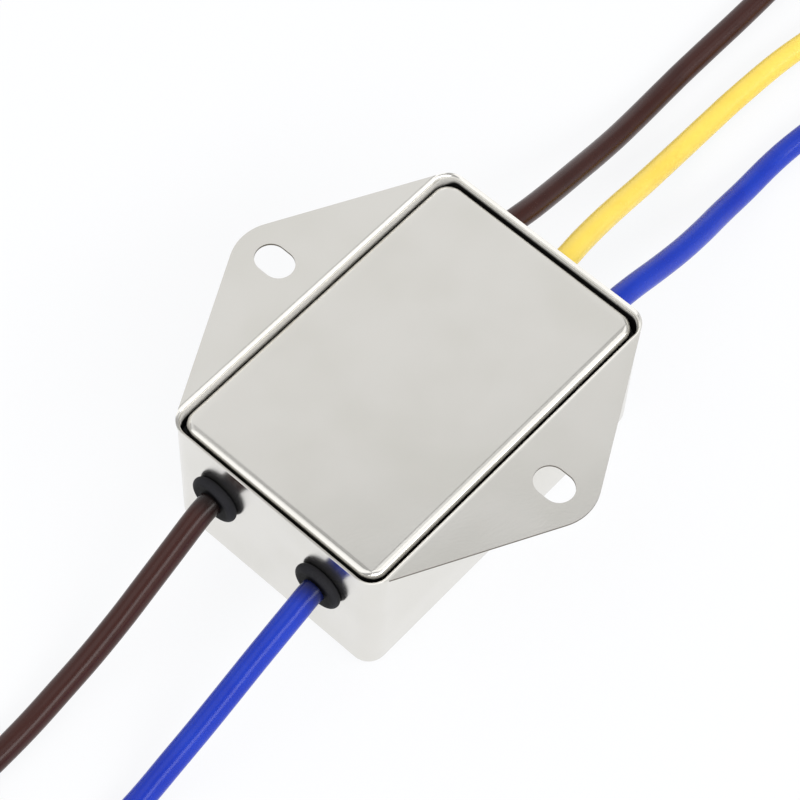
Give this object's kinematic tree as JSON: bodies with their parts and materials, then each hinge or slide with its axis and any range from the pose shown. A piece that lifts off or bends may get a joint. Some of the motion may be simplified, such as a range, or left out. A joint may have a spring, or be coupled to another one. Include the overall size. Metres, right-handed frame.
{
  "type": "emi line filter",
  "caption": "Mains EMI filter in a drawn steel can with a pressed-in lid, slotted mounting ears on the open rim, and grommeted flying leads at both ends.",
  "frame": {"origin": "centre of the can's closed face", "axes": "+Z from the closed face to the flange, +X towards the load leads, Y from ear to ear"},
  "size_m": [0.2876, 0.0648, 0.0265],
  "materials": {
    "plated_steel": "satin nickel plate, drawn",
    "insulating_sheet": "matt fibre sheet",
    "liner_plastic": "moulded, matt",
    "board_laminate": "solder-masked laminate",
    "ferrite": "sintered, fine grained",
    "seat_plastic": "moulded",
    "enamelled_wire": "enamelled copper",
    "film_capacitor_case": "moulded case",
    "disc_capacitor_coat": "dipped coat",
    "resistor_body": "coated body",
    "brass": "turned",
    "screw_steel": "zinc plated",
    "grommet_rubber": "moulded black rubber",
    "insulation_brown": "smooth extruded PVC",
    "insulation_blue": "smooth extruded PVC",
    "insulation_earth": "smooth extruded PVC, yellow with a green stripe",
    "tinned_copper": "tinned strands"
  },
  "bodies": {
    "root": {"can": "plated_steel", "lid": "plated_steel", "lid_insulator": "insulating_sheet", "liner": "liner_plastic", "board": "board_laminate", "choke_core": "ferrite", "choke_seat": "seat_plastic", "winding_line": "enamelled_wire", "winding_neutral": "enamelled_wire", "x_capacitor_in": "film_capacitor_case", "x_capacitor_out": "film_capacitor_case", "y_capacitor_line": "disc_capacitor_coat", "y_capacitor_neutral": "disc_capacitor_coat", "bleed_resistor": "resistor_body", "earth_boss": "brass", "earth_screw": "screw_steel", "grommet_line_in": "grommet_rubber", "grommet_neutral_in": "grommet_rubber", "grommet_line_out": "grommet_rubber", "grommet_earth": "grommet_rubber", "grommet_neutral_out": "grommet_rubber", "lead_line_in": "insulation_brown", "lead_neutral_in": "insulation_blue", "lead_line_out": "insulation_brown", "lead_earth": "insulation_earth", "lead_neutral_out": "insulation_blue", "bare_end_line_in": "tinned_copper", "bare_end_neutral_in": "tinned_copper", "bare_end_line_out": "tinned_copper", "bare_end_earth": "tinned_copper", "bare_end_neutral_out": "tinned_copper", "tail_line_in": "tinned_copper", "tail_neutral_in": "tinned_copper", "tail_line_out": "tinned_copper", "tail_earth": "tinned_copper", "tail_neutral_out": "tinned_copper"}
  },
  "joints": []
}
